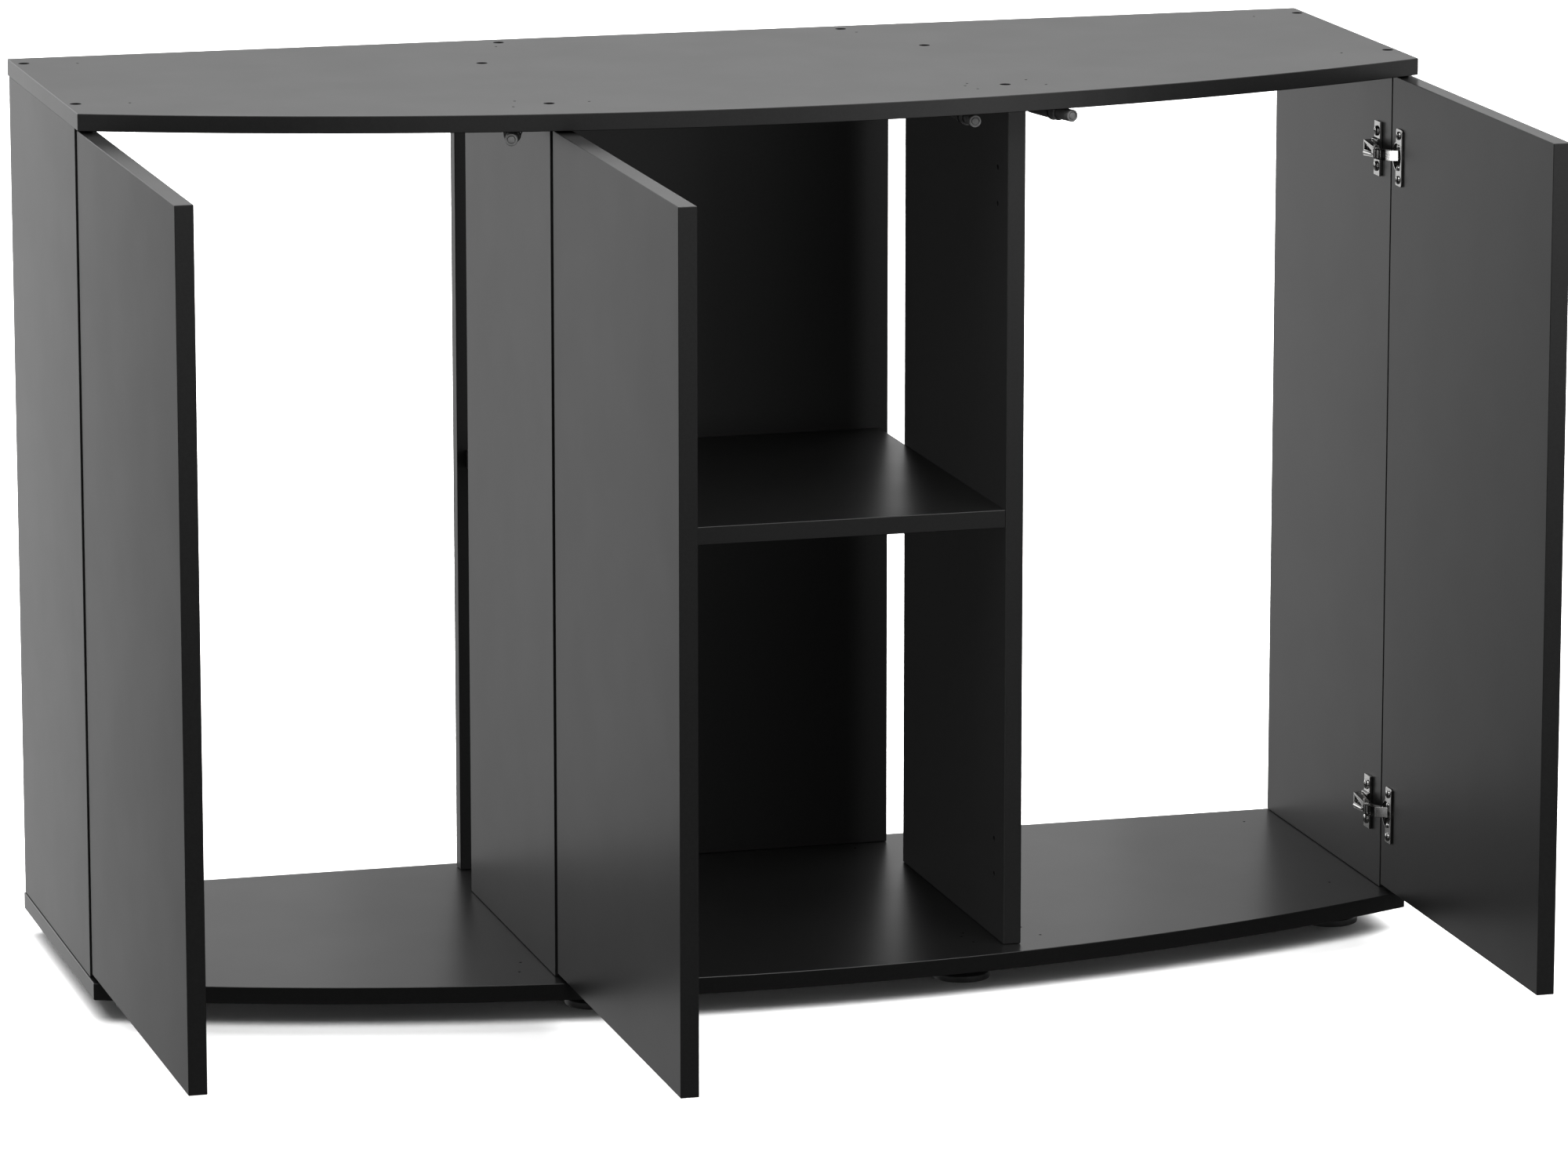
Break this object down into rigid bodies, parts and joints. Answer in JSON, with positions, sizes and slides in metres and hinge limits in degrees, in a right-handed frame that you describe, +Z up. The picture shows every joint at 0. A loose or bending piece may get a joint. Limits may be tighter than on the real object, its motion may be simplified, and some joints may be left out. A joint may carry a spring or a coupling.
{
  "type": "aquarium stand",
  "caption": "Black bow-fronted aquarium stand: cabinet with three hinged doors on push latches, two open-backed side bays, a shelved middle bay and round glides.",
  "frame": {"origin": "on the floor, at the centre of the box around the stand with its doors open", "axes": "+X along the long side to the viewer's right, +Y to the back, +Z up"},
  "size_m": [1.21, 0.8422, 0.8],
  "materials": {
    "black_melamine": "satin black melamine-faced chipboard with matching edging",
    "nickel": "bright nickel-plated pressed steel",
    "grey_plastic": "moulded grey plastic",
    "black_plastic": "moulded black plastic",
    "blackened_steel": "blackened steel screw"
  },
  "bodies": {
    "cabinet": {"back_left_inner_foot": "black_plastic", "back_left_outer_foot": "black_plastic", "back_panel": "black_melamine", "back_right_inner_foot": "black_plastic", "back_right_outer_foot": "black_plastic", "bottom_panel": "black_melamine", "centre_latch_body": "grey_plastic", "centre_lower_hinge_arm": "nickel", "centre_lower_hinge_plate": "nickel", "centre_upper_hinge_arm": "nickel", "centre_upper_hinge_plate": "nickel", "front_left_inner_foot": "black_plastic", "front_left_outer_foot": "black_plastic", "front_right_inner_foot": "black_plastic", "front_right_outer_foot": "black_plastic", "left_latch_body": "grey_plastic", "left_lower_hinge_arm": "nickel", "left_lower_hinge_plate": "nickel", "left_partition": "black_melamine", "left_side_panel": "black_melamine", "left_upper_hinge_arm": "nickel", "left_upper_hinge_plate": "nickel", "middle_shelf": "black_melamine", "right_latch_body": "grey_plastic", "right_lower_hinge_arm": "nickel", "right_lower_hinge_plate": "nickel", "right_partition": "black_melamine", "right_side_panel": "black_melamine", "right_upper_hinge_arm": "nickel", "right_upper_hinge_plate": "nickel", "screw_left_back_panel": "blackened_steel", "screw_left_partition_back": "blackened_steel", "screw_left_partition_front": "blackened_steel", "screw_left_side_back": "blackened_steel", "screw_left_side_front": "blackened_steel", "screw_right_back_panel": "blackened_steel", "screw_right_partition_back": "blackened_steel", "screw_right_partition_front": "blackened_steel", "screw_right_side_back": "blackened_steel", "screw_right_side_front": "blackened_steel", "top_panel": "black_melamine"},
    "left_door": {"left_door": "black_melamine", "left_lower_hinge_cup": "nickel", "left_upper_hinge_cup": "nickel"},
    "left_hinge_links": {"left_lower_hinge_link": "nickel", "left_upper_hinge_link": "nickel"},
    "left_plunger": {"left_latch_plunger": "grey_plastic"},
    "centre_door": {"centre_door": "black_melamine", "centre_lower_hinge_cup": "nickel", "centre_upper_hinge_cup": "nickel"},
    "centre_hinge_links": {"centre_lower_hinge_link": "nickel", "centre_upper_hinge_link": "nickel"},
    "centre_plunger": {"centre_latch_plunger": "grey_plastic"},
    "right_door": {"right_door": "black_melamine", "right_lower_hinge_cup": "nickel", "right_upper_hinge_cup": "nickel"},
    "right_hinge_links": {"right_lower_hinge_link": "nickel", "right_upper_hinge_link": "nickel"},
    "right_plunger": {"right_latch_plunger": "grey_plastic"}
  },
  "joints": [
    {"name": "left_door_hinge", "type": "hinge", "parent": "cabinet", "child": "left_door", "pos_m": [-0.59673, 0.0922, 0.4115], "axis": [0, 0, 1], "range_deg": [0, 73.98]},
    {"name": "left_link_pivot", "type": "hinge", "parent": "cabinet", "child": "left_hinge_links", "pos_m": [-0.576, 0.1086, 0.4115], "axis": [0, 0, 1], "range_deg": [-20.01, 0]},
    {"name": "left_plunger_slide", "type": "slide", "parent": "cabinet", "child": "left_plunger", "axis": [-0.2689, -0.9632, 0], "range_m": [-0.02051, 0]},
    {"name": "centre_door_hinge", "type": "hinge", "parent": "cabinet", "child": "centre_door", "pos_m": [-0.2033, -0.0098, 0.4115], "axis": [0, 0, 1], "range_deg": [0, 90]},
    {"name": "centre_link_pivot", "type": "hinge", "parent": "cabinet", "child": "centre_hinge_links", "pos_m": [-0.1846, 0.0021, 0.4115], "axis": [0, 0, 1], "range_deg": [-20.01, 0]},
    {"name": "centre_plunger_slide", "type": "slide", "parent": "cabinet", "child": "centre_plunger", "axis": [0, -1, 0], "range_m": [-0.02051, 0]},
    {"name": "right_door_hinge", "type": "hinge", "parent": "cabinet", "child": "right_door", "pos_m": [0.59673, 0.0922, 0.4115], "axis": [0, 0, -1], "range_deg": [0, 73.98]},
    {"name": "right_link_pivot", "type": "hinge", "parent": "cabinet", "child": "right_hinge_links", "pos_m": [0.576, 0.1086, 0.4115], "axis": [0, 0, -1], "range_deg": [-20.01, 0]},
    {"name": "right_plunger_slide", "type": "slide", "parent": "cabinet", "child": "right_plunger", "axis": [0.2689, -0.9632, 0], "range_m": [-0.02051, 0]}
  ],
  "couplings": [
    {"joint": "left_link_pivot", "follows": "left_door_hinge", "ratio": -0.27034},
    {"joint": "left_plunger_slide", "follows": "left_door_hinge", "m_per_rad": -0.015877},
    {"joint": "centre_link_pivot", "follows": "centre_door_hinge", "ratio": -0.22222},
    {"joint": "centre_plunger_slide", "follows": "centre_door_hinge", "m_per_rad": -0.013051},
    {"joint": "right_link_pivot", "follows": "right_door_hinge", "ratio": -0.27034},
    {"joint": "right_plunger_slide", "follows": "right_door_hinge", "m_per_rad": -0.015877}
  ]
}
